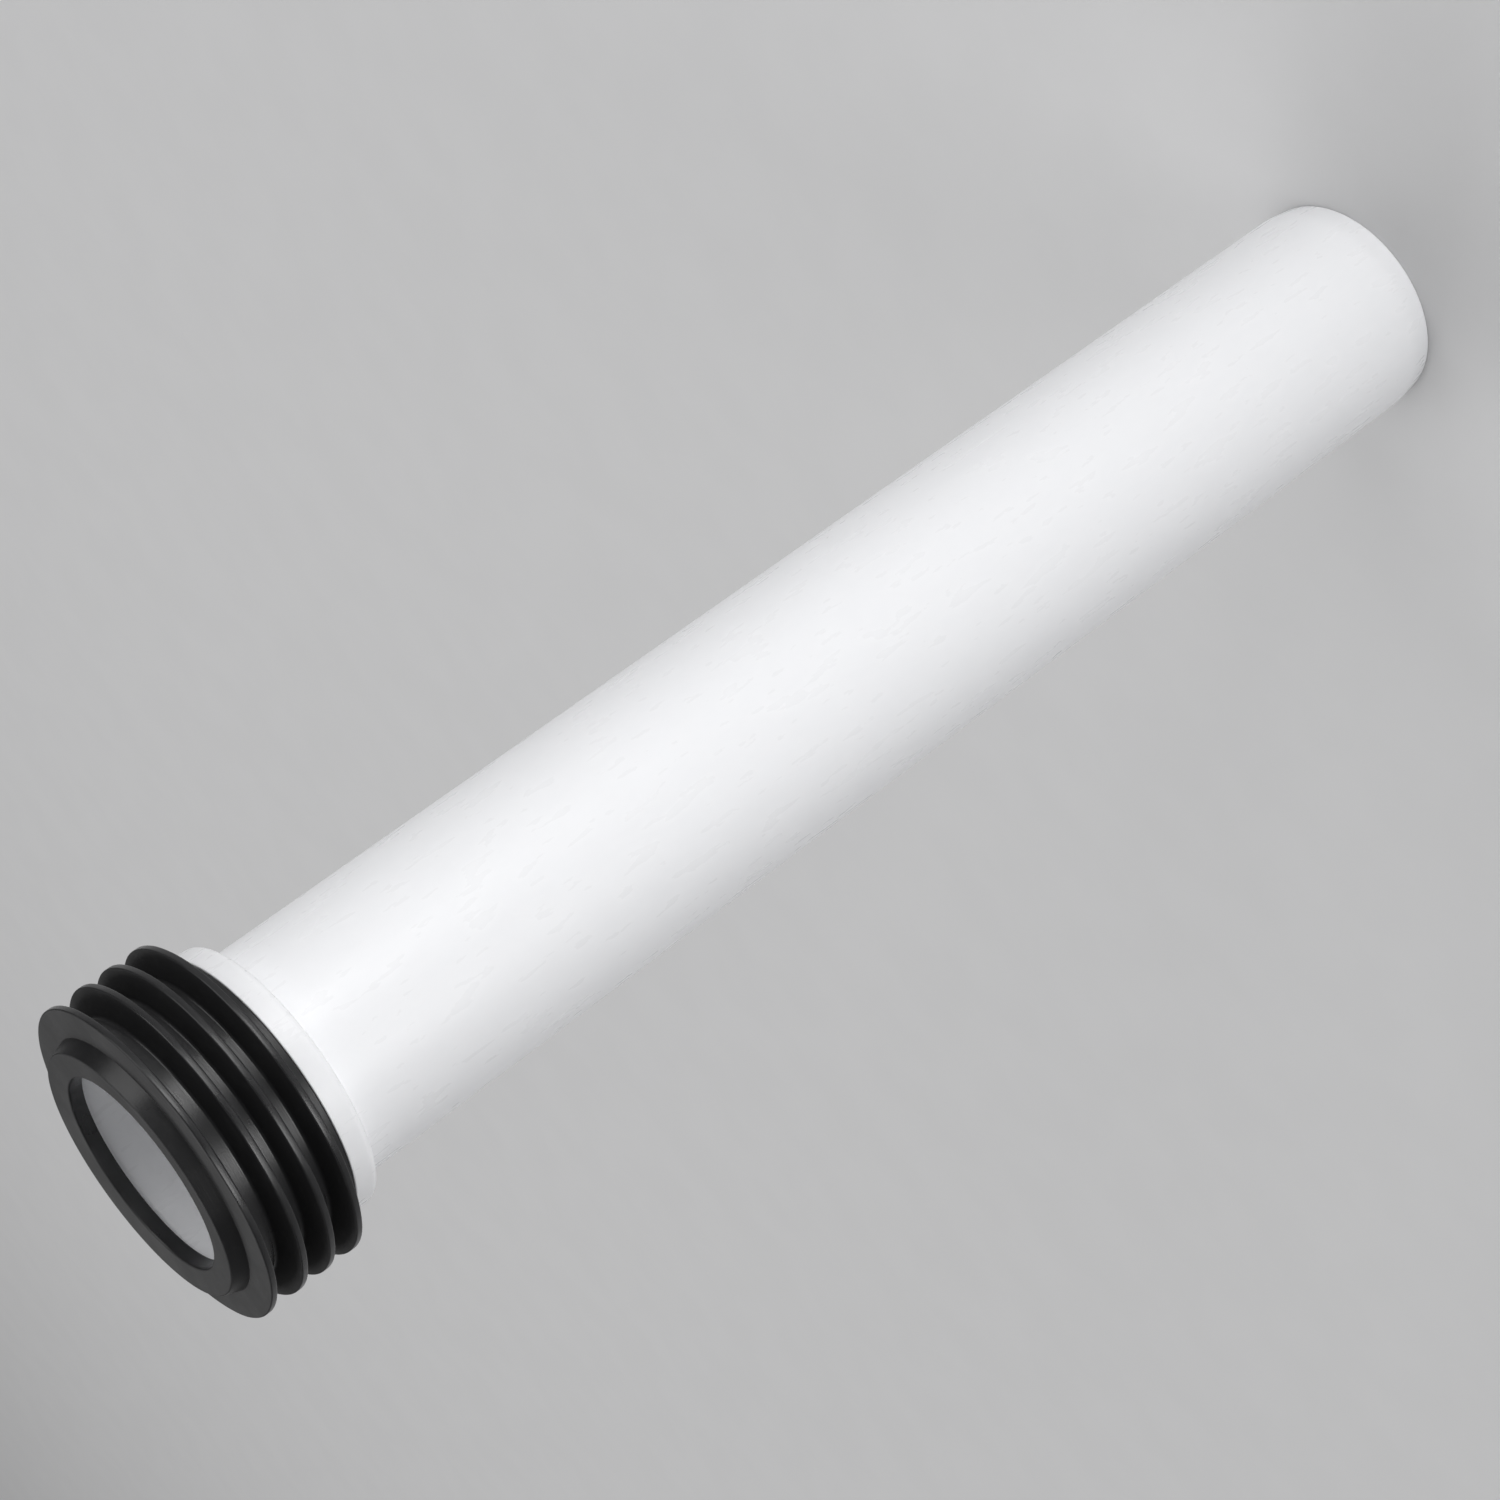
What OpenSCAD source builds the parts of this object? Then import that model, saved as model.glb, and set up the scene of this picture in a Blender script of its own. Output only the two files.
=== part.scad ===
// Flush pipe extension: a plain pipe with a tapered spigot at one end and, at the other,
// a moulded collar with a finned push-in seal in front of it.
// It stands on its spigot with the seal on top: the axis is Z, and the spigot's tip is at Z = 0.

/* [Pipe] */
// Length of the pipe moulding, from the spigot's tip to the end inside the seal
pipe_length = 300; // [150:1:600]
// Outside diameter of the pipe
pipe_od = 45; // [36:0.5:60]
// Wall of the pipe
pipe_wall = 2.2; // [1.8:0.1:4]
// Length of the lead-in taper at the spigot's tip
taper_length = 5; // [2:0.5:12]
// How much the taper takes off the radius at the tip
taper_drop = 0.8; // [0.2:0.1:1]
// Radius of the tip's rounded outer edge
tip_round = 0.4; // [0.1:0.1:0.6]

/* [Collar] */
// Height of the collar above the pipe
collar_height = 3.6; // [2.4:0.1:8]
// Thickness of the collar along the pipe
collar_thickness = 5; // [2.2:0.1:8]
// Radius of the collar's rounded back edge
collar_round = 1.6; // [0.5:0.1:2]

/* [Seal sleeve] */
// Length of pipe that the seal covers, from the pipe's end to the collar
sleeve_length = 21.6; // [21:0.1:40]
// Wall of the seal's sleeve
sleeve_wall = 3.3; // [2.5:0.1:6]
// Gap between the pipe and the seal's bore, 0 where the stretched rubber hugs the pipe
seal_fit = 0; // [0:0.05:0.2]
// Length of bare sleeve between the last fin and the collar
tail_length = 2.7; // [2:0.1:4]

/* [Seal nose] */
// How far the nose stands out past the pipe's end
nose_overhang = 3.4; // [2:0.1:6]
// Length of the nose in front of the first fin, whose face stands straight behind it
nose_length = 3.1; // [2:0.1:4]
// How much smaller the radius is at the nose's heel than at the sleeve
nose_step = 0.4; // [0.1:0.1:0.8]
// How much smaller the radius is at the nose's tip than at its heel
nose_draft = 1.1; // [0.4:0.1:1.6]
// Diameter of the mouth
mouth_d = 38.4; // [26:0.2:40]
// Depth of the hollow in the front face, at the mouth
dish_depth = 0.5; // [0.1:0.1:1]
// Radius of the rounded edges of the nose's tip and mouth
nose_round = 0.4; // [0.2:0.1:0.6]

/* [Fins] */
// Number of fins
fin_count = 4; // [3:1:5]
// Height of each fin above the sleeve
fin_height = 5.2; // [4:0.1:8]
// Thickness of a fin at its rim
fin_rim = 1.3; // [0.8:0.1:1.6]
// Thickness of a fin at its root
fin_root = 2.3; // [1.8:0.1:2.6]
// How far a swept fin's rim lies behind its root
fin_sweep = 1.3; // [0.5:0.1:1.6]
// Distance from the front of the first fin's rim to the front of the second's
first_fin_gap = 6.5; // [5:0.1:7]
// Radius of the edges of a fin's rim
fin_edge = 0.3; // [0.1:0.05:0.35]
// Radius of the fillets at a fin's root
fin_fillet = 0.6; // [0.2:0.1:0.7]

/* [Hidden] */
$fn = 96;
pipe_r = pipe_od / 2;
bore_r = pipe_r - pipe_wall;
collar_r = pipe_r + collar_height;
seat_r = pipe_r + seal_fit;
sleeve_r = pipe_r + sleeve_wall;
fin_r = sleeve_r + fin_height;
heel_r = sleeve_r - nose_step;
mouth_r = mouth_d / 2;
seal_length = nose_overhang + sleeve_length;
second_fin = nose_length + first_fin_gap;
last_fin = seal_length - tail_length - fin_rim;
fin_pitch = (last_fin - second_fin) / (fin_count - 2);

// Direction of the line from a point that touches a circle, on its left (1) or right (-1)
function touch_angle(from, centre, radius, side) =
    atan2(centre.y - from.y, centre.x - from.x) + side * asin(radius / norm(centre - from));

// Point where that line touches the circle
function touch_point(from, centre, radius, side) =
    let (reach = sqrt(pow(norm(centre - from), 2) - pow(radius, 2)))
    let (angle = touch_angle(from, centre, radius, side))
    from + reach * [cos(angle), sin(angle)];

// Centre of the fillet between the sleeve and a face at an angle, behind it (1) or in front (-1)
function fillet_centre(root, angle, side) =
    root + fin_fillet * [1, side * (1 + side * sin(angle)) / cos(angle)];

// Pipe with its bore, its spigot taper and its collar
module flush_pipe() {
    color("white") rotate_extrude() {
        pipe_section();
        translate([0, pipe_length - sleeve_length - collar_thickness]) collar_section();
    }
}

// Half section of the pipe's wall, with the taper and the rounded tip
module pipe_section() {
    tip = [pipe_r - taper_drop - tip_round, tip_round];
    polygon([
        [bore_r, 0],
        [tip.x, 0],
        tip,
        touch_point([pipe_r, taper_length], tip, tip_round, 1),
        [pipe_r, taper_length],
        [pipe_r, pipe_length],
        [bore_r, pipe_length],
    ]);
    translate(tip) circle(tip_round);
}

// Half section of the collar, rounded at its back edge
module collar_section() {
    inner_r = pipe_r - pipe_wall / 2;
    edge = [collar_r - collar_round, collar_round];
    polygon([
        [inner_r, 0],
        [edge.x, 0],
        edge,
        [collar_r, edge.y],
        [collar_r, collar_thickness],
        [inner_r, collar_thickness],
    ]);
    intersection() {
        translate(edge) circle(collar_round);
        translate([edge.x, 0]) square(collar_round);
    }
}

// Finned rubber seal, hooked over the pipe's end and seated on the collar.
// Its sections are drawn with Y running from the nose's tip towards the spigot.
module fin_seal() {
    color([0.09, 0.09, 0.1])
        translate([0, 0, pipe_length + nose_overhang]) mirror([0, 0, 1]) {
            rotate_extrude() sleeve_section();
            rotate_extrude() nose_section();
            rotate_extrude() first_fin_section();
            for (i = [0:fin_count - 2])
                translate([0, 0, second_fin + i * fin_pitch]) rotate_extrude() fin_section(fin_sweep);
        }
}

// Half section of the sleeve, from the heel of the nose to the collar
module sleeve_section() {
    polygon([
        [seat_r, nose_overhang],
        [seat_r, seal_length],
        [sleeve_r, seal_length],
        [sleeve_r, nose_length],
        [seat_r, nose_length],
    ]);
}

// Half section of the nose: drafted outside, dished in front, with a lip over the pipe's end
module nose_section() {
    heel = [heel_r, nose_length];
    rim = [heel_r - nose_draft - nose_round, nose_round];
    mouth = [mouth_r + nose_round, dish_depth + nose_round];
    along = (rim - mouth) / norm(rim - mouth);
    out = nose_round * [along.y, -along.x];
    polygon([
        [mouth_r, nose_overhang],
        [mouth_r, mouth.y],
        mouth,
        mouth + out,
        rim + out,
        rim,
        touch_point(heel, rim, nose_round, 1),
        heel,
        [heel_r, nose_overhang],
    ]);
    for (centre = [rim, mouth]) translate(centre) circle(nose_round);
}

// Half section of the first fin, cut off square along the heel of the nose
module first_fin_section() {
    intersection() {
        translate([0, nose_length]) fin_section(0);
        translate([0, nose_length]) square([fin_r, seal_length]);
    }
}

// Half section of a fin that leans back by the sweep, with the front of its rim at Y = 0
module fin_section(sweep) {
    front_root = [sleeve_r, -sweep];
    back_root = [sleeve_r, fin_root - sweep];
    front_edge = [fin_r - fin_edge, fin_edge];
    back_edge = [fin_r - fin_edge, fin_rim - fin_edge];
    front_fillet = fillet_centre(front_root, touch_angle(front_root, front_edge, fin_edge, -1), -1);
    back_fillet = fillet_centre(back_root, touch_angle(back_root, back_edge, fin_edge, 1), 1);
    base_r = sleeve_r - sleeve_wall / 2;
    difference() {
        polygon([
            [base_r, front_fillet.y],
            front_fillet,
            touch_point(front_root, front_fillet, fin_fillet, 1),
            touch_point(front_root, front_edge, fin_edge, -1),
            front_edge,
            [fin_r, front_edge.y],
            [fin_r, back_edge.y],
            back_edge,
            touch_point(back_root, back_edge, fin_edge, 1),
            touch_point(back_root, back_fillet, fin_fillet, -1),
            back_fillet,
            [base_r, back_fillet.y],
        ]);
        for (centre = [front_fillet, back_fillet]) translate(centre) circle(fin_fillet);
    }
    for (centre = [front_edge, back_edge]) translate(centre) circle(fin_edge);
}

flush_pipe();
fin_seal();
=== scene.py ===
"""Looks of the flush pipe extension: the white pipe moulding and the black finned seal on its end."""

import logging
import math
from dataclasses import dataclass
from enum import Enum
from typing import Any, Union

import bmesh
import bpy
from mathutils import Matrix, Vector


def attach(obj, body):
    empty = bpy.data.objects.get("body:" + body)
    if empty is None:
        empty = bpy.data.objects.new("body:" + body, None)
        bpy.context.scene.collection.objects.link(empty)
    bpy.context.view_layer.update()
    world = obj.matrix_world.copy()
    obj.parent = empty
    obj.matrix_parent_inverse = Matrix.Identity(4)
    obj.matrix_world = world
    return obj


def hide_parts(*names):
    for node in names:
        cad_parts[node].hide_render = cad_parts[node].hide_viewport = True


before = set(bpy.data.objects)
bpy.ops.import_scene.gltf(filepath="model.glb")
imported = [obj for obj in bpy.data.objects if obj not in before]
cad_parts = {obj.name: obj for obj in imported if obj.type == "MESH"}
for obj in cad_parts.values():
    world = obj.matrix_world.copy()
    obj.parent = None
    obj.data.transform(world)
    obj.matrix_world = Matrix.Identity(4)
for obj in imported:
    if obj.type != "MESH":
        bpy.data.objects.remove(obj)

LOG = logging.getLogger("flush_pipe_extension")
MM = 0.001
BODY = "root"
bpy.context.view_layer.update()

Colour = tuple[float, float, float]
Value = Union[float, int, str, bool, tuple, Vector, bpy.types.Material, bpy.types.NodeSocket]


class PointLabel(Enum):
    """Names of the values that a corner of an outline carries into its tree."""

    ORDER = "outline_order"
    ROUND = "corner_round"
    PLACE = "outline_place"
    TURN = "turn"


class Graph:
    """Adds nodes to one node tree, sets their inputs and links them."""

    def __init__(self, tree: bpy.types.NodeTree) -> None:
        """Starts on an empty tree."""
        self.tree = tree
        tree.nodes.clear()

    def add(self, kind: str, inputs: dict[Any, Value] | None = None, **settings: Any) -> bpy.types.Node:
        """Adds one node.

        Args:
            kind: The node's type.
            inputs: What goes into its inputs, by name or number: a value or another node's socket.
            settings: The node's own settings.

        Returns:
            The new node.
        """
        node = self.tree.nodes.new(kind)
        for name, value in settings.items():
            setattr(node, name, value)
        for key, value in (inputs or {}).items():
            if isinstance(value, bpy.types.NodeSocket):
                self.tree.links.new(value, node.inputs[key])
            else:
                node.inputs[key].default_value = value
        return node

    def math(self, operation: str, first: Value, second: Value = 0.0) -> bpy.types.NodeSocket:
        """Adds a sum on two numbers.

        Args:
            operation: Name of the sum, such as ADD.
            first: The first number.
            second: The second number, where the sum has one.

        Returns:
            The result's socket.
        """
        return self.add("ShaderNodeMath", {0: first, 1: second}, operation=operation).outputs[0]

    def vector(self, x: Value, y: Value, z: Value) -> bpy.types.NodeSocket:
        """Joins three numbers into a vector."""
        return self.add("ShaderNodeCombineXYZ", {"X": x, "Y": y, "Z": z}).outputs[0]

    def spread(self, value: Value, low: float, high: float, out_low: float, out_high: float) -> bpy.types.NodeSocket:
        """Maps a number from one range to another, smoothly.

        Args:
            value: The number.
            low: Start of its range.
            high: End of its range.
            out_low: Result at the start.
            out_high: Result at the end.

        Returns:
            The result's socket.
        """
        inputs = {"Value": value, "From Min": low, "From Max": high, "To Min": out_low, "To Max": out_high}
        return self.add("ShaderNodeMapRange", inputs, interpolation_type="SMOOTHSTEP").outputs["Result"]

    def noise(self, place: Value, scale: float, detail: float = 2.0) -> bpy.types.NodeSocket:
        """Adds a noise pattern.

        Args:
            place: Where it is read.
            scale: How many of its features fit in a metre of place.
            detail: How many finer layers it has.

        Returns:
            The socket of its height, from 0 to 1.
        """
        return self.add("ShaderNodeTexNoise", {"Vector": place, "Scale": scale, "Detail": detail}).outputs["Fac"]

    def mix(self, share: Value, first: Colour, second: Colour) -> bpy.types.NodeSocket:
        """Blends two colours.

        Args:
            share: How much of the second there is.
            first: The first colour.
            second: The second colour.

        Returns:
            The colour's socket.
        """
        inputs = {0: share, 6: (*first, 1.0), 7: (*second, 1.0)}
        return self.add("ShaderNodeMix", inputs, data_type="RGBA").outputs[2]


@dataclass(frozen=True)
class Corner:
    """A corner of an outline: its distance from the axis, its height and its rounding, in millimetres."""

    radius: float
    height: float
    rounding: float = 0.0


def stretched(graph: Graph, scale: tuple[float, float, float]) -> bpy.types.NodeSocket:
    """Gives the place on the piece, stretched along its axes.

    Args:
        graph: The material's nodes.
        scale: How much each axis counts.

    Returns:
        The place's socket.
    """
    place = graph.add("ShaderNodeTexCoord").outputs["Object"]
    return graph.add("ShaderNodeMapping", {"Vector": place, "Scale": scale}).outputs["Vector"]


def turned_place(graph: Graph, along: float, around: float) -> bpy.types.NodeSocket:
    """Gives a place that changes fast across a turned surface and slowly round it.

    Args:
        graph: The material's nodes.
        along: How much distance and height count.
        around: How much the direction round the axis counts.

    Returns:
        The place's socket.
    """
    place = graph.add("ShaderNodeTexCoord").outputs["Object"]
    parts = graph.add("ShaderNodeSeparateXYZ", {"Vector": place})
    flat = graph.vector(parts.outputs["X"], parts.outputs["Y"], 0.0)
    radius = graph.add("ShaderNodeVectorMath", {0: flat}, operation="LENGTH").outputs["Value"]
    facing = graph.add("ShaderNodeVectorMath", {0: flat}, operation="NORMALIZE").outputs["Vector"]
    slow = graph.add("ShaderNodeVectorMath", {0: facing, "Scale": around}, operation="SCALE").outputs["Vector"]
    across = graph.math("ADD", radius, parts.outputs["Z"])
    lift = graph.vector(0.0, 0.0, graph.math("MULTIPLY", across, along))
    return graph.add("ShaderNodeVectorMath", {0: slow, 1: lift}, operation="ADD").outputs["Vector"]


@dataclass(frozen=True)
class GlossPlastic:
    """Smooth white moulded plastic with faint draw lines and a soft, uneven gloss."""

    name: str
    colour: Colour
    shade: Colour
    gloss_low: float = 0.26
    gloss_high: float = 0.36
    grain_depth: float = 0.00002

    def material(self) -> bpy.types.Material:
        """Builds the plastic's material."""
        made = bpy.data.materials.new(self.name)
        made.use_nodes = True
        graph = Graph(made.node_tree)
        cloud = graph.noise(stretched(graph, (1.0, 1.0, 0.25)), 500.0, 4.0)
        draw_lines = graph.noise(stretched(graph, (1.0, 1.0, 0.02)), 900.0, 2.0)
        grain = graph.noise(stretched(graph, (1.0, 1.0, 1.0)), 700.0, 3.0)
        relief = graph.math("ADD", graph.math("MULTIPLY", draw_lines, 0.5), grain)
        bump = graph.add("ShaderNodeBump", {"Height": relief, "Strength": 0.15, "Distance": self.grain_depth})
        surface = graph.add("ShaderNodeBsdfPrincipled", {
            "Base Color": graph.mix(graph.spread(cloud, 0.35, 0.7, 0.0, 1.0), self.colour, self.shade),
            "Roughness": graph.spread(cloud, 0.3, 0.7, self.gloss_low, self.gloss_high),
            "IOR": 1.49,
            "Normal": bump.outputs["Normal"],
        })
        graph.add("ShaderNodeOutputMaterial", {"Surface": surface.outputs[0]})
        return made


@dataclass(frozen=True)
class MouldedRubber:
    """Satin black rubber with the mould's turning lines and a dusty bloom."""

    name: str
    colour: Colour
    bloom: Colour
    gloss_low: float = 0.26
    gloss_high: float = 0.36
    flat_gloss_loss: float = 0.38
    line_depth: float = 0.00003

    def material(self) -> bpy.types.Material:
        """Builds the rubber's material."""
        made = bpy.data.materials.new(self.name)
        made.use_nodes = True
        graph = Graph(made.node_tree)
        cloud = graph.noise(stretched(graph, (1.0, 1.0, 1.0)), 110.0, 4.0)
        lines = graph.noise(turned_place(graph, 5200.0, 3.0), 1.0, 2.0)
        grain = graph.noise(stretched(graph, (1.0, 1.0, 1.0)), 2600.0, 2.0)
        relief = graph.math("ADD", lines, graph.math("MULTIPLY", grain, 0.6))
        bump = graph.add("ShaderNodeBump", {"Height": relief, "Strength": 0.5, "Distance": self.line_depth})
        facing = graph.add("ShaderNodeSeparateXYZ", {
            "Vector": graph.add("ShaderNodeTexCoord").outputs["Normal"]}).outputs["Z"]
        flat = graph.spread(graph.math("ABSOLUTE", facing), 0.4, 0.9, 0.0, self.flat_gloss_loss)
        satin = graph.spread(cloud, 0.3, 0.7, self.gloss_low, self.gloss_high)
        dust = graph.spread(graph.noise(turned_place(graph, 900.0, 9.0), 1.0, 3.0), 0.5, 0.8, 0.0, 1.0)
        surface = graph.add("ShaderNodeBsdfPrincipled", {
            "Base Color": graph.mix(dust, self.colour, self.bloom),
            "Roughness": graph.math("ADD", satin, flat),
            "IOR": 1.52,
            "Normal": bump.outputs["Normal"],
        })
        graph.add("ShaderNodeOutputMaterial", {"Surface": surface.outputs[0]})
        return made


@dataclass(frozen=True)
class StudioPaper:
    """Matt pale paper for the floor."""

    name: str
    colour: Colour
    fibre: Colour

    def material(self) -> bpy.types.Material:
        """Builds the paper's material."""
        made = bpy.data.materials.new(self.name)
        made.use_nodes = True
        graph = Graph(made.node_tree)
        fibres = graph.noise(stretched(graph, (1.0, 1.0, 1.0)), 40.0, 4.0)
        surface = graph.add("ShaderNodeBsdfPrincipled", {
            "Base Color": graph.mix(graph.spread(fibres, 0.3, 0.7, 0.0, 1.0), self.colour, self.fibre),
            "Roughness": 0.9,
            "Specular IOR Level": 0.1,
        })
        graph.add("ShaderNodeOutputMaterial", {"Surface": surface.outputs[0]})
        return made


class TurnedTree:
    """Geometry Nodes tree that rounds a chain of corners, adds any fins and turns it round the Z axis."""

    def __init__(self, name: str) -> None:
        """Makes the empty tree, with its geometry in and out."""
        self.tree = bpy.data.node_groups.new(name, "GeometryNodeTree")
        self.graph = Graph(self.tree)
        self.tree.interface.new_socket("Geometry", in_out="OUTPUT", socket_type="NodeSocketGeometry")
        self.tree.interface.new_socket("Geometry", in_out="INPUT", socket_type="NodeSocketGeometry")
        self.source = self.graph.add("NodeGroupInput")
        self.identifiers: dict[str, str] = {}

    def value(self, name: str, kind: str = "NodeSocketFloat") -> bpy.types.NodeSocket:
        """Adds a named input to the tree, or finds it.

        Args:
            name: The input's name.
            kind: The input's socket type.

        Returns:
            The socket that gives its value inside the tree.
        """
        if name not in self.identifiers:
            item = self.tree.interface.new_socket(name, in_out="INPUT", socket_type=kind)
            self.identifiers[name] = item.identifier
        return self.source.outputs[name]

    def label(self, geometry: Value, label: PointLabel, value: Value, kind: str = "FLOAT") -> bpy.types.NodeSocket:
        """Stores a value on each point.

        Args:
            geometry: The geometry's socket.
            label: The value's name.
            value: The value.
            kind: The value's type.

        Returns:
            The geometry's new socket.
        """
        inputs = {"Geometry": geometry, "Name": label.value, "Value": value}
        node = self.graph.add("GeometryNodeStoreNamedAttribute", inputs, data_type=kind, domain="POINT")
        return node.outputs["Geometry"]

    def read(self, label: PointLabel, kind: str = "FLOAT") -> bpy.types.NodeSocket:
        """Reads a stored value."""
        node = self.graph.add("GeometryNodeInputNamedAttribute", {"Name": label.value}, data_type=kind)
        return node.outputs["Attribute"]

    def pick(self, kind: str, choices: list[Value]) -> bpy.types.NodeSocket:
        """Picks one of several values by the point's number.

        Args:
            kind: The values' type.
            choices: The values, first point first.

        Returns:
            The picked value's socket.
        """
        number = self.graph.add("GeometryNodeInputIndex").outputs[0]
        node = self.graph.add("GeometryNodeIndexSwitch", data_type=kind)
        while len(node.index_switch_items) < len(choices):
            node.index_switch_items.new()
        self.tree.links.new(number, node.inputs[0])
        for place, choice in enumerate(choices):
            if isinstance(choice, bpy.types.NodeSocket):
                self.tree.links.new(choice, node.inputs[place + 1])
            else:
                node.inputs[place + 1].default_value = choice
        return node.outputs[0]

    def fin_corners(self) -> bpy.types.NodeSocket:
        """Adds the corners of the swept fins, lowest fin first, each from its back root to its front root."""
        add, math_ = self.graph.add, self.graph.math
        sleeve, rim, sweep = self.value("Sleeve Radius"), self.value("Fin Radius"), self.value("Fin Sweep")
        back_root = math_("SUBTRACT", sweep, self.value("Root Thickness"))
        back_rim = math_("MULTIPLY", self.value("Rim Thickness"), -1.0)
        corners = [
            self.graph.vector(sleeve, 0.0, back_root),
            self.graph.vector(rim, 0.0, back_rim),
            self.graph.vector(rim, 0.0, 0.0),
            self.graph.vector(sleeve, 0.0, sweep),
        ]
        edge, fillet = self.value("Edge Radius"), self.value("Root Fillet")
        chain = add("GeometryNodeMeshLine", {"Count": len(corners)}).outputs[0]
        chain = add("GeometryNodeSetPosition", {"Geometry": chain, "Position": self.pick("VECTOR", corners)}).outputs[0]
        chain = self.label(chain, PointLabel.ROUND, self.pick("FLOAT", [fillet, edge, edge, fillet]))
        places = add("GeometryNodeMeshLine", {
            "Count": self.value("Fin Count", "NodeSocketInt"),
            "Start Location": self.graph.vector(0.0, 0.0, self.value("Lowest Fin")),
            "Offset": self.graph.vector(0.0, 0.0, self.value("Fin Pitch")),
        }).outputs[0]
        fins = add("GeometryNodeInstanceOnPoints", {"Points": places, "Instance": chain}).outputs[0]
        fins = add("GeometryNodeRealizeInstances", {"Geometry": fins}).outputs[0]
        number = add("GeometryNodeInputIndex").outputs[0]
        order = math_("ADD", self.value("First Fin Order"), math_("MULTIPLY", number, self.value("Order Step")))
        return self.label(fins, PointLabel.ORDER, order)

    def build(self, with_fins: bool) -> None:
        """Wires the tree: corners to an outline, and the outline to a closed turned shell.

        Args:
            with_fins: Whether the tree adds swept fins to the corners that it is given.
        """
        add, math_ = self.graph.add, self.graph.math
        corners = self.source.outputs["Geometry"]
        if with_fins:
            join = add("GeometryNodeJoinGeometry")
            self.tree.links.new(self.fin_corners(), join.inputs[0])
            self.tree.links.new(corners, join.inputs[0])
            corners = join.outputs[0]
        points = add("GeometryNodeMeshToPoints", {"Mesh": corners}).outputs[0]
        outline = add("GeometryNodePointsToCurves", {
            "Points": points, "Weight": self.read(PointLabel.ORDER)}).outputs[0]
        outline = add("GeometryNodeSetSplineCyclic", {"Geometry": outline, "Cyclic": True}).outputs[0]
        outline = add("GeometryNodeFilletCurve", {
            "Curve": outline,
            "Count": self.value("Corner Steps", "NodeSocketInt"),
            "Radius": self.read(PointLabel.ROUND),
            "Limit Radius": True,
        }, mode="POLY").outputs[0]
        position = add("GeometryNodeInputPosition").outputs[0]
        outline = self.label(outline, PointLabel.PLACE, position, "FLOAT_VECTOR")
        segments = self.value("Segments", "NodeSocketInt")
        circle = add("GeometryNodeCurvePrimitiveCircle", {"Resolution": segments}).outputs[0]
        number = add("GeometryNodeInputIndex").outputs[0]
        angle = math_("MULTIPLY", math_("DIVIDE", number, segments), 2 * math.pi)
        circle = self.label(circle, PointLabel.TURN, angle)
        shell = add("GeometryNodeCurveToMesh", {"Curve": circle, "Profile Curve": outline}).outputs[0]
        place = add("ShaderNodeSeparateXYZ", {"Vector": self.read(PointLabel.PLACE, "FLOAT_VECTOR")}).outputs
        turn = self.read(PointLabel.TURN)
        turned = self.graph.vector(
            math_("MULTIPLY", place["X"], math_("COSINE", turn)),
            math_("MULTIPLY", place["X"], math_("SINE", turn)),
            place["Z"],
        )
        shell = add("GeometryNodeSetPosition", {"Geometry": shell, "Position": turned}).outputs[0]
        if with_fins:
            shell = self.waver(shell)
        shell = add("GeometryNodeSetShadeSmooth", {"Geometry": shell}).outputs[0]
        shell = add("GeometryNodeRealizeInstances", {"Geometry": shell}).outputs[0]
        finish = self.value("Material", "NodeSocketMaterial")
        shell = add("GeometryNodeSetMaterial", {"Geometry": shell, "Material": finish}).outputs[0]
        add("NodeGroupOutput", {"Geometry": shell})

    def waver(self, shell: bpy.types.NodeSocket) -> bpy.types.NodeSocket:
        """Lets the thin rims of the fins waver a little up and down, as soft rubber does.

        Args:
            shell: The turned shell.

        Returns:
            The shell's new socket.
        """
        add, math_ = self.graph.add, self.graph.math
        position = add("GeometryNodeInputPosition").outputs[0]
        wave = self.graph.add("ShaderNodeTexNoise", {
            "Vector": position, "Scale": self.value("Waver Scale"), "Detail": 1.0}).outputs["Fac"]
        place = add("ShaderNodeSeparateXYZ", {"Vector": self.read(PointLabel.PLACE, "FLOAT_VECTOR")}).outputs
        sleeve, rim = self.value("Sleeve Radius"), self.value("Fin Radius")
        reach = add("ShaderNodeMapRange", {
            "Value": place["X"], "From Min": sleeve, "From Max": rim}).outputs["Result"]
        height = math_("MULTIPLY", math_("SUBTRACT", wave, 0.5), math_("MULTIPLY", reach, reach))
        offset = self.graph.vector(0.0, 0.0, math_("MULTIPLY", height, self.value("Waver Height")))
        return add("GeometryNodeSetPosition", {"Geometry": shell, "Offset": offset}).outputs[0]


def corner_chain(name: str, corners: list[Corner], order_gap_after: int | None = None, gap: float = 0.0) -> bpy.types.Object:
    """Makes the object that carries an outline's fixed corners.

    Args:
        name: The object's name.
        corners: The corners, in their order round the outline.
        order_gap_after: Number of the corner after which other corners come in, if any do.
        gap: How much room in the order they get.

    Returns:
        The object, whose mesh is one point for each corner.
    """
    mesh = bpy.data.meshes.new(name)
    mesh.from_pydata([(corner.radius * MM, 0.0, corner.height * MM) for corner in corners], [], [])
    order = mesh.attributes.new(PointLabel.ORDER.value, "FLOAT", "POINT")
    rounding = mesh.attributes.new(PointLabel.ROUND.value, "FLOAT", "POINT")
    for number, corner in enumerate(corners):
        later = order_gap_after is not None and number > order_gap_after
        order.data[number].value = number + (gap if later else 0.0)
        rounding.data[number].value = corner.rounding * MM
    piece = bpy.data.objects.new(name, mesh)
    bpy.context.scene.collection.objects.link(piece)
    return piece


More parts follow.
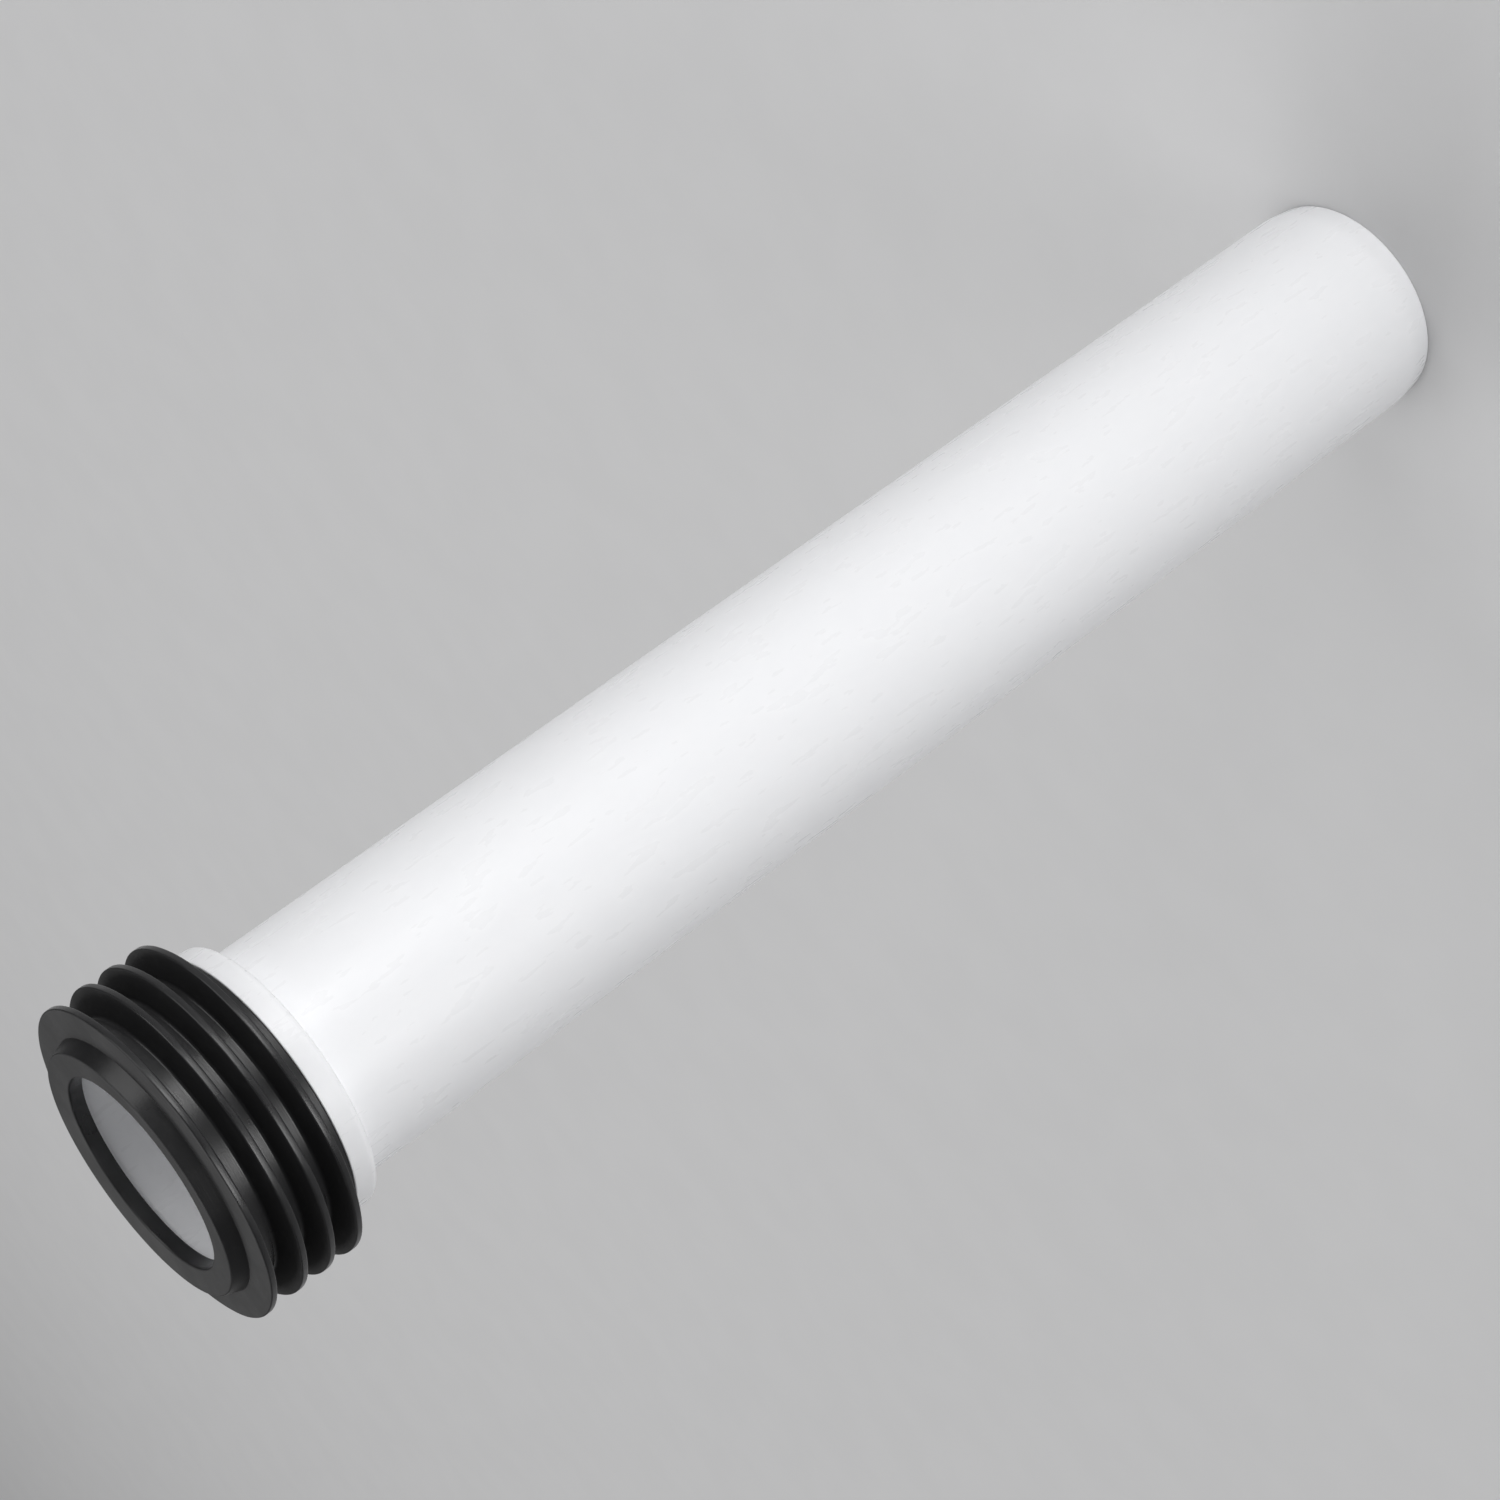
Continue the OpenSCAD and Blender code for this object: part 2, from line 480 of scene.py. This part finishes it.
def turn_shell(piece: bpy.types.Object, tree: TurnedTree, values: dict[str, Value]) -> None:
    """Runs the tree on the corners and keeps the result as the object's plain mesh.

    Args:
        piece: The object that carries the corners.
        tree: The tree.
        values: What goes into the tree's inputs, by name.
    """
    modifier = piece.modifiers.new("turned_shell", "NODES")
    modifier.node_group = tree.tree
    for name, value in values.items():
        modifier[tree.identifiers[name]] = value
    graph = bpy.context.evaluated_depsgraph_get()
    mesh = bpy.data.meshes.new_from_object(piece.evaluated_get(graph), depsgraph=graph)
    piece.modifiers.remove(modifier)
    corners = piece.data
    piece.data = mesh
    mesh.name = piece.name
    bpy.data.meshes.remove(corners)
    for label in PointLabel:
        if label.value in mesh.attributes:
            mesh.attributes.remove(mesh.attributes[label.value])
    work = bmesh.new()
    work.from_mesh(mesh)
    bmesh.ops.recalc_face_normals(work, faces=work.faces)
    if work.calc_volume(signed=True) < 0:
        bmesh.ops.reverse_faces(work, faces=work.faces)
    work.to_mesh(mesh)
    work.free()
    shading = piece.modifiers.new("flat_faces_stay_flat", "WEIGHTED_NORMAL")
    shading.weight = 50


@dataclass
class FlushPipe:
    """The pipe moulding: spigot, bore and collar. Sizes are in millimetres."""

    finish: GlossPlastic
    pipe_length: float = 300.0
    pipe_radius: float = 22.5
    bore_radius: float = 20.3
    taper_length: float = 5.0
    taper_drop: float = 0.8
    tip_round: float = 0.4
    taper_blend: float = 14.0
    collar_radius: float = 26.1
    collar_back: float = 273.4
    collar_front: float = 278.4
    collar_round: float = 1.6
    collar_edge: float = 0.25
    inner_edge: float = 0.3
    segments: int = 288
    corner_steps: int = 7

    def corners(self) -> list[Corner]:
        """Gives the corners of the half section, from the spigot's tip up the outside and down the bore."""
        return [
            Corner(self.pipe_radius - self.taper_drop, 0.0, self.tip_round),
            Corner(self.pipe_radius, self.taper_length, self.taper_blend),
            Corner(self.pipe_radius, self.collar_back, self.collar_edge),
            Corner(self.collar_radius, self.collar_back, self.collar_round),
            Corner(self.collar_radius, self.collar_front, self.collar_edge),
            Corner(self.pipe_radius, self.collar_front),
            Corner(self.pipe_radius, self.pipe_length, self.inner_edge),
            Corner(self.bore_radius, self.pipe_length, self.inner_edge),
            Corner(self.bore_radius, 0.0, self.inner_edge),
        ]

    def build(self) -> bpy.types.Object:
        """Builds the moulding and puts it on its body in place of its plain solid."""
        piece = corner_chain("pipe_moulding", self.corners())
        tree = TurnedTree("turned_pipe")
        tree.build(with_fins=False)
        turn_shell(piece, tree, {
            "Segments": self.segments,
            "Corner Steps": self.corner_steps,
            "Material": self.finish.material(),
        })
        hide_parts("flush_pipe")
        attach(piece, BODY)
        return piece


@dataclass
class FinSeal:
    """The rubber seal: sleeve, nose and fins. Sizes are in millimetres, and depths run down from the nose's tip."""

    finish: MouldedRubber
    top: float = 303.4
    seat_radius: float = 22.5
    sleeve_radius: float = 25.8
    seal_length: float = 25.0
    nose_overhang: float = 3.4
    nose_length: float = 3.1
    heel_radius: float = 25.4
    tip_radius: float = 24.3
    mouth_radius: float = 19.2
    dish_depth: float = 0.5
    nose_round: float = 0.4
    heel_edge: float = 0.12
    fin_radius: float = 31.0
    fin_rim: float = 1.3
    fin_root: float = 2.3
    fin_sweep: float = 1.3
    second_fin: float = 9.6
    last_fin: float = 21.0
    swept_fins: int = 3
    fin_edge: float = 0.3
    fin_fillet: float = 0.6
    tail_edge: float = 0.2
    waver_height: float = 0.3
    waver_scale: float = 60.0
    segments: int = 384
    corner_steps: int = 6

    def corners(self) -> list[Corner]:
        """Gives the corners of the half section but for the swept fins, which come in after the second one."""
        return [
            Corner(self.seat_radius, self.top - self.seal_length, self.tail_edge),
            Corner(self.sleeve_radius, self.top - self.seal_length, self.tail_edge),
            Corner(self.sleeve_radius, self.top - self.nose_length - self.fin_root, self.fin_fillet),
            Corner(self.fin_radius, self.top - self.nose_length - self.fin_rim, self.fin_edge),
            Corner(self.fin_radius, self.top - self.nose_length, self.fin_edge),
            Corner(self.heel_radius, self.top - self.nose_length, self.heel_edge),
            Corner(self.tip_radius, self.top, self.nose_round),
            Corner(self.mouth_radius, self.top - self.dish_depth, self.nose_round),
            Corner(self.mouth_radius, self.top - self.nose_overhang, self.tail_edge),
            Corner(self.seat_radius, self.top - self.nose_overhang, self.heel_edge),
        ]

    def build(self) -> bpy.types.Object:
        """Builds the seal and puts it on its body in place of its plain solid."""
        tail_corners = 2
        piece = corner_chain("finned_seal", self.corners(), tail_corners - 1, 10.0)
        tree = TurnedTree("turned_seal")
        tree.build(with_fins=True)
        turn_shell(piece, tree, {
            "Sleeve Radius": self.sleeve_radius * MM,
            "Fin Radius": self.fin_radius * MM,
            "Fin Sweep": self.fin_sweep * MM,
            "Root Thickness": self.fin_root * MM,
            "Rim Thickness": self.fin_rim * MM,
            "Edge Radius": self.fin_edge * MM,
            "Root Fillet": self.fin_fillet * MM,
            "Fin Count": self.swept_fins,
            "Lowest Fin": (self.top - self.last_fin) * MM,
            "Fin Pitch": (self.last_fin - self.second_fin) / (self.swept_fins - 1) * MM,
            "First Fin Order": float(tail_corners),
            "Order Step": 0.5,
            "Waver Height": self.waver_height * MM,
            "Waver Scale": self.waver_scale,
            "Segments": self.segments,
            "Corner Steps": self.corner_steps,
            "Material": self.finish.material(),
        })
        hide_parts("fin_seal")
        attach(piece, BODY)
        return piece


@dataclass(frozen=True)
class Softbox:
    """A flat lamp. Its bearing runs from the side that the camera looks from, to the right if positive."""

    name: str
    bearing_deg: float
    rise_deg: float
    distance: float
    width: float
    height: float
    level: float
    aim_height: float = 0.18
    colour: Colour = (1.0, 1.0, 1.0)

    def build(self) -> bpy.types.Object:
        """Makes the lamp and turns it to the part. At level 1 its face is as bright as lit white paper."""
        data = bpy.data.lights.new(self.name, "AREA")
        data.shape = "RECTANGLE"
        data.size, data.size_y = self.width, self.height
        data.energy, data.color = self.level * math.pi * self.width * self.height, self.colour
        target = Vector((0.0, 0.0, self.aim_height))
        lamp = bpy.data.objects.new(self.name, data)
        bpy.context.scene.collection.objects.link(lamp)
        bearing, rise = math.radians(self.bearing_deg), math.radians(self.rise_deg)
        away = Vector((math.sin(bearing) * math.cos(rise), -math.cos(bearing) * math.cos(rise), math.sin(rise)))
        lamp.location = target + away * self.distance
        lamp.rotation_euler = (-away).to_track_quat("-Z", "Y").to_euler()
        return lamp


@dataclass
class Camera:
    """The camera at the photograph's viewing angle, from its fit to the part's rims and edges."""

    frame_px: float = 1500.0
    focal_px: float = 3623.63
    sensor_mm: float = 36.0
    fall_deg: float = 25.972
    roll_deg: float = -126.029
    mouth_right_mm: float = -100.93
    mouth_down_mm: float = 70.276
    mouth_ahead_mm: float = 597.358

    def build(self, mouth: Vector) -> bpy.types.Object:
        """Makes the camera.

        Args:
            mouth: Centre of the seal's front, which the fit places in front of the camera.

        Returns:
            The camera's object.
        """
        fall, roll = math.radians(self.fall_deg), math.radians(self.roll_deg)
        ahead = Vector((0.0, math.cos(fall), -math.sin(fall)))
        level, above = Vector((1.0, 0.0, 0.0)), Vector((0.0, math.sin(fall), math.cos(fall)))
        right = level * math.cos(roll) + above * math.sin(roll)
        up = above * math.cos(roll) - level * math.sin(roll)
        offset = right * self.mouth_right_mm - up * self.mouth_down_mm + ahead * self.mouth_ahead_mm
        data = bpy.data.cameras.new("photo_view")
        data.sensor_width = self.sensor_mm
        data.lens = self.sensor_mm * self.focal_px / self.frame_px
        data.clip_start, data.clip_end = 0.01, 60.0
        camera = bpy.data.objects.new("photo_view", data)
        bpy.context.scene.collection.objects.link(camera)
        turn = Matrix((right, up, -ahead)).transposed().to_4x4()
        camera.matrix_world = Matrix.Translation(mouth - offset * MM) @ turn
        bpy.context.scene.camera = camera
        return camera


@dataclass
class Studio:
    """The pale floor, the lamps, the sky and the camera."""

    paper: StudioPaper
    softboxes: tuple[Softbox, ...]
    camera: Camera
    sky_low: float = 0.12
    sky_high: float = 0.45
    floor_radius: float = 12.0
    floor_sides: int = 96

    def build(self, mouth: Vector) -> None:
        """Builds all of it round the part.

        Args:
            mouth: Centre of the seal's front.
        """
        mesh = bpy.data.meshes.new("studio_floor")
        work = bmesh.new()
        bmesh.ops.create_circle(work, cap_ends=True, segments=self.floor_sides, radius=self.floor_radius)
        work.to_mesh(mesh)
        work.free()
        mesh.materials.append(self.paper.material())
        floor = bpy.data.objects.new("studio_floor", mesh)
        bpy.context.scene.collection.objects.link(floor)
        for softbox in self.softboxes:
            lamp = softbox.build()
            LOG.info("lamp %s: %.2f W", lamp.name, lamp.data.energy)
        world = bpy.data.worlds.new("studio_sky")
        world.use_nodes = True
        graph = Graph(world.node_tree)
        height = graph.add("ShaderNodeSeparateXYZ", {
            "Vector": graph.add("ShaderNodeTexCoord").outputs["Generated"]}).outputs["Z"]
        level = graph.spread(height, 0.0, 1.0, self.sky_low, self.sky_high)
        sky = graph.add("ShaderNodeBackground", {"Strength": level})
        graph.add("ShaderNodeOutputWorld", {"Surface": sky.outputs[0]})
        bpy.context.scene.world = world
        bpy.context.scene.view_settings.view_transform = "Standard"
        self.camera.build(mouth)


def report(piece: bpy.types.Object) -> None:
    """Logs what a piece measures."""
    faces = sum(len(face.vertices) - 2 for face in piece.data.polygons)
    LOG.info("piece %s: %.1f x %.1f x %.1f mm, %d triangles", piece.name, *(side / MM for side in piece.dimensions), faces)


def main() -> None:
    """Builds the two pieces and the studio."""
    logging.basicConfig(level=logging.INFO, format="%(name)s: %(message)s")
    white = GlossPlastic("white_plastic", (0.895, 0.9, 0.915), (0.888, 0.894, 0.911))
    black = MouldedRubber("black_rubber", (0.006, 0.006, 0.0068), (0.012, 0.012, 0.013))
    paper = StudioPaper("pale_paper", (0.6, 0.6, 0.605), (0.59, 0.59, 0.595))
    report(FlushPipe(white).build())
    seal = FinSeal(black)
    report(seal.build())
    softboxes = (
        Softbox("key", 65.0, 25.0, 1.4, 0.9, 0.9, 1.8),
        Softbox("floor_light", 180.0, 65.0, 2.2, 1.8, 1.6, 3.2),
        Softbox("low_key_side", 28.0, -2.0, 1.0, 0.45, 0.36, 6.5, 0.25),
        Softbox("low_far_side", -34.0, -2.0, 1.0, 0.45, 0.36, 6.5, 0.25),
    )
    Studio(paper, softboxes, Camera()).build(Vector((0.0, 0.0, seal.top * MM)))


if __name__ == "__main__":
    main()
